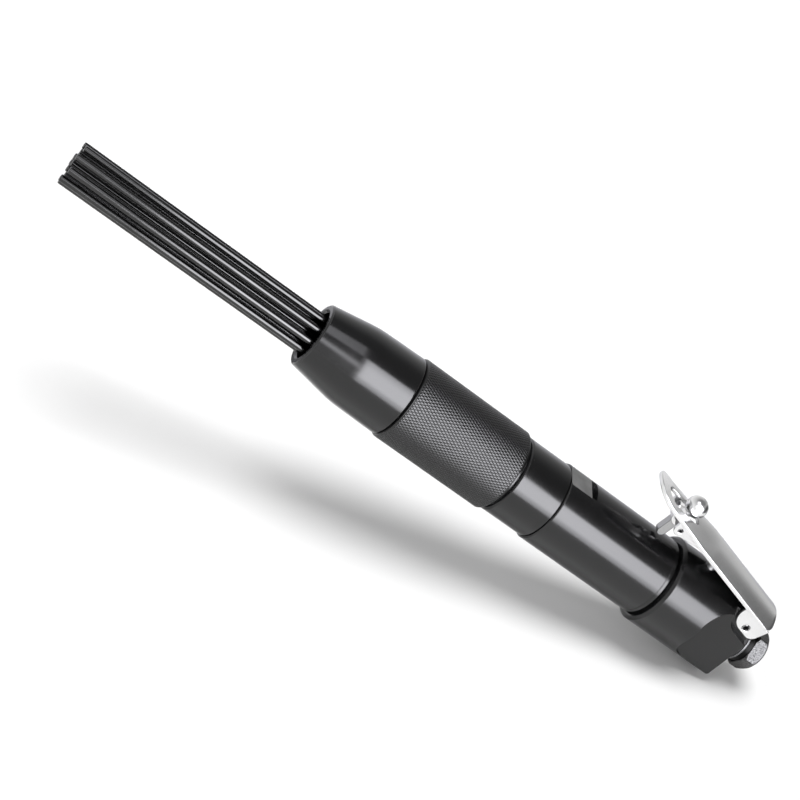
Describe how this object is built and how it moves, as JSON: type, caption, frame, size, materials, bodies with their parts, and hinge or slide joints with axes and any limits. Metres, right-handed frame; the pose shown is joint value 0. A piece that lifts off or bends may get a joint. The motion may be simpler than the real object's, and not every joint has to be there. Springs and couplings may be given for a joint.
{
  "type": "needle scaler",
  "caption": "Straight air needle scaler: black round body with a knurled collar and conical nose, a bundle of steel needles, and a throttle lever with a ball latch.",
  "frame": {"origin": "centre of the air inlet's mouth, on the tool's axis", "axes": "+X along the tool, out of the air inlet, so the needles point to -X; +Z towards the lever"},
  "size_m": [0.3702, 0.043, 0.0674],
  "materials": {
    "black_steel": "gloss black coat on steel",
    "black_head": "gloss black coat on aluminium",
    "needle_steel": "dark drawn wire",
    "polished_steel": "polished",
    "dark_steel": "dark oxide",
    "bright_steel": "ground",
    "spring_steel": "oiled wire",
    "brass": "turned",
    "black_rubber": "moulded"
  },
  "bodies": {
    "housing": {"nose": "black_steel", "collar": "black_steel", "hammer_cylinder": "black_steel", "barrel": "black_steel", "seam_ring": "black_rubber", "head": "black_head", "anvil_buffer": "black_rubber", "valve_cover": "dark_steel", "valve_seat": "dark_steel", "valve_dowel": "bright_steel", "lever_pin": "dark_steel", "pin_seal": "black_rubber", "inlet_bushing": "dark_steel", "inlet_washer": "bright_steel", "inlet_strainer": "brass", "return_spring": "spring_steel", "valve_spring": "spring_steel"},
    "lever": {"lever": "polished_steel", "latch_pin": "dark_steel", "latch_spring": "spring_steel"},
    "latch": {"latch": "polished_steel"},
    "throttle_pin": {"throttle_pin": "bright_steel"},
    "throttle_valve": {"throttle_valve": "brass", "valve_seal": "black_rubber"},
    "needle_pack": {"needle_holder": "dark_steel", "anvil": "dark_steel"},
    "piston": {"piston": "bright_steel"},
    "valve_disc": {"valve_disc": "bright_steel"},
    "needle_01": {"needle_01": "needle_steel"},
    "needle_02": {"needle_02": "needle_steel"},
    "needle_03": {"needle_03": "needle_steel"},
    "needle_04": {"needle_04": "needle_steel"},
    "needle_05": {"needle_05": "needle_steel"},
    "needle_06": {"needle_06": "needle_steel"},
    "needle_07": {"needle_07": "needle_steel"},
    "needle_08": {"needle_08": "needle_steel"},
    "needle_09": {"needle_09": "needle_steel"},
    "needle_10": {"needle_10": "needle_steel"},
    "needle_11": {"needle_11": "needle_steel"},
    "needle_12": {"needle_12": "needle_steel"}
  },
  "joints": [
    {"name": "lever_press", "type": "hinge", "parent": "housing", "child": "lever", "pos_m": [-0.0212, 0, 0.0136], "axis": [0, -1, 0], "range_deg": [0, 4.5], "stiffness_Nm_per_rad": 6, "springref_deg": -5.73},
    {"name": "latch_turn", "type": "hinge", "parent": "lever", "child": "latch", "pos_m": [-0.0791, 0, 0.03251], "axis": [0, -1, 0], "range_deg": [0, 76.6]},
    {"name": "throttle_slide", "type": "slide", "parent": "housing", "child": "throttle_pin", "axis": [0, 0, -1], "range_m": [0, 0.0024]},
    {"name": "valve_tilt", "type": "hinge", "parent": "housing", "child": "throttle_valve", "pos_m": [-0.0314, 0, 0.0068], "axis": [0, -1, 0], "range_deg": [0, 7.7], "deforming": ["valve_spring"]},
    {"name": "strike_slide", "type": "slide", "parent": "housing", "child": "needle_pack", "axis": [-1, 0, 0], "range_m": [0, 0.005], "stiffness_N_per_m": 3000, "springref_m": -0.008, "deforming": ["return_spring"]},
    {"name": "piston_slide", "type": "slide", "parent": "housing", "child": "piston", "axis": [-1, 0, 0], "range_m": [0, 0.025]},
    {"name": "disc_flip", "type": "slide", "parent": "housing", "child": "valve_disc", "axis": [1, 0, 0], "range_m": [0, 0.001]},
    {"name": "needle_01_float", "type": "slide", "parent": "needle_pack", "child": "needle_01", "axis": [1, 0, 0], "range_m": [-0.00067, 0.00333]},
    {"name": "needle_02_float", "type": "slide", "parent": "needle_pack", "child": "needle_02", "axis": [1, 0, 0], "range_m": [-0.00133, 0.00267]},
    {"name": "needle_03_float", "type": "slide", "parent": "needle_pack", "child": "needle_03", "axis": [1, 0, 0], "range_m": [-0.0004, 0.0036]},
    {"name": "needle_04_float", "type": "slide", "parent": "needle_pack", "child": "needle_04", "axis": [1, 0, 0], "range_m": [-0.00107, 0.00293]},
    {"name": "needle_05_float", "type": "slide", "parent": "needle_pack", "child": "needle_05", "axis": [1, 0, 0], "range_m": [-0.00013, 0.00387]},
    {"name": "needle_06_float", "type": "slide", "parent": "needle_pack", "child": "needle_06", "axis": [1, 0, 0], "range_m": [-0.0008, 0.0032]},
    {"name": "needle_07_float", "type": "slide", "parent": "needle_pack", "child": "needle_07", "axis": [1, 0, 0], "range_m": [-0.00147, 0.00253]},
    {"name": "needle_08_float", "type": "slide", "parent": "needle_pack", "child": "needle_08", "axis": [1, 0, 0], "range_m": [-0.00053, 0.00347]},
    {"name": "needle_09_float", "type": "slide", "parent": "needle_pack", "child": "needle_09", "axis": [1, 0, 0], "range_m": [-0.0012, 0.0028]},
    {"name": "needle_10_float", "type": "slide", "parent": "needle_pack", "child": "needle_10", "axis": [1, 0, 0], "range_m": [-0.00027, 0.00373]},
    {"name": "needle_11_float", "type": "slide", "parent": "needle_pack", "child": "needle_11", "axis": [1, 0, 0], "range_m": [-0.00093, 0.00307]},
    {"name": "needle_12_float", "type": "slide", "parent": "needle_pack", "child": "needle_12", "axis": [1, 0, 0], "range_m": [0, 0.004]}
  ],
  "couplings": [
    {"joint": "latch_turn", "follows": "lever_press", "ratio": 17},
    {"joint": "throttle_slide", "follows": "lever_press", "m_per_rad": 0.03},
    {"joint": "valve_tilt", "follows": "lever_press", "ratio": 1.7}
  ]
}
